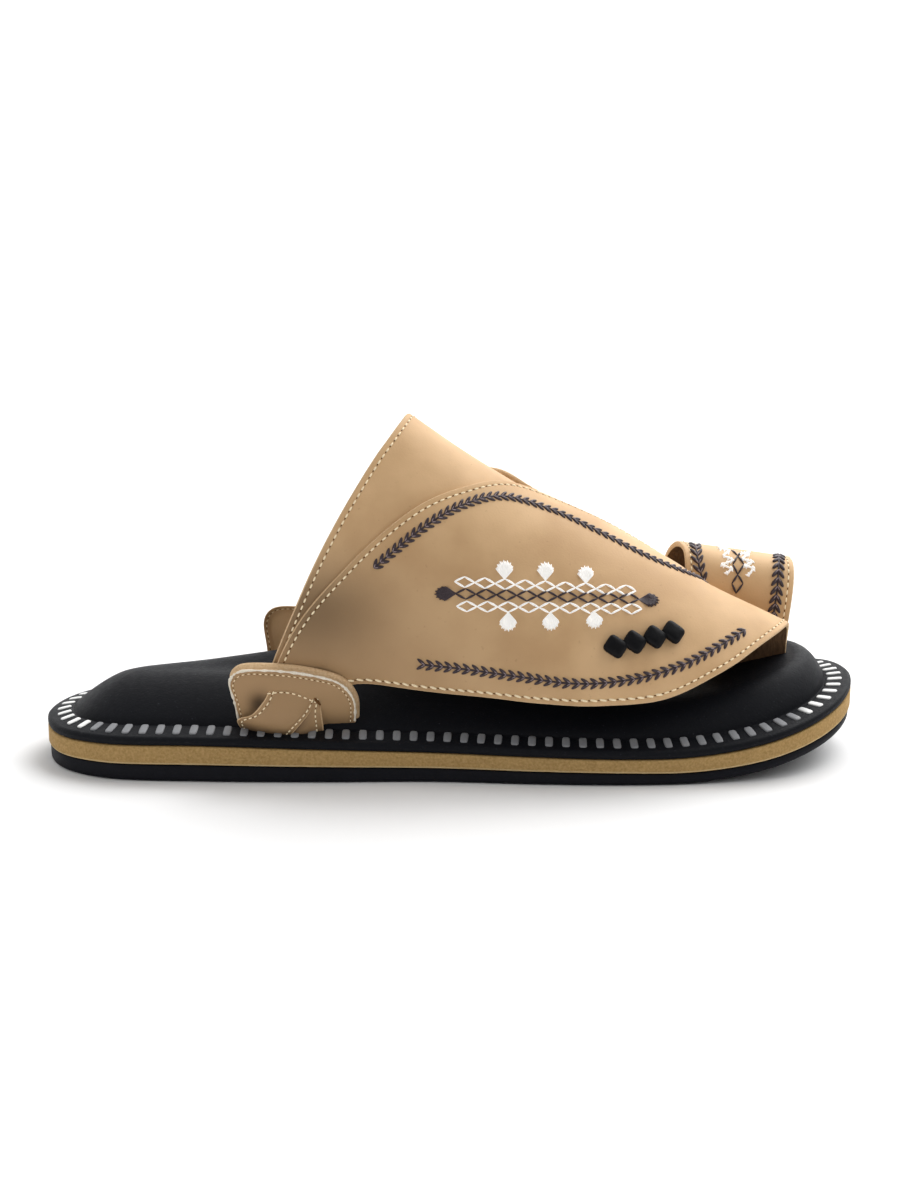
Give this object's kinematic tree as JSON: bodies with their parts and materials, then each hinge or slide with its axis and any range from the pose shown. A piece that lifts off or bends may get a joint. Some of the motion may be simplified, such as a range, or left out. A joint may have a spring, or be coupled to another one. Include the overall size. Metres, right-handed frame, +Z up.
{
  "type": "arabic sandal",
  "caption": "Right-foot arabic sandal: padded footbed on a layered sole, wrapped leather instep with crossing leaf straps, a ring for the big toe and stitched side ears.",
  "frame": {"origin": "under the middle of the sandal's box, on the floor", "axes": "+X from heel to toe, +Y towards the medial side, +Z up"},
  "size_m": [0.291, 0.0952, 0.1217],
  "materials": {
    "outsole_rubber": "matte black rubber with a fine tread",
    "midsole_foam": "matte tan foam with a fine grain",
    "footbed_padding": "matte black padded cover with pale bars round its border",
    "upper_leather": "smooth matte tan leather, suede inside",
    "bead_black": "satin black"
  },
  "bodies": {
    "root": {"outsole": "outsole_rubber", "midsole": "midsole_foam", "footbed": "footbed_padding", "upper": "upper_leather", "toe_ring": "upper_leather", "ear_lateral": "upper_leather", "ear_medial": "upper_leather", "ear_knot_lateral": "upper_leather", "ear_knot_medial": "upper_leather", "ear_tail_lateral": "upper_leather", "ear_tail_medial": "upper_leather", "bead_1": "bead_black", "bead_2": "bead_black", "bead_3": "bead_black", "bead_4": "bead_black"}
  },
  "joints": []
}
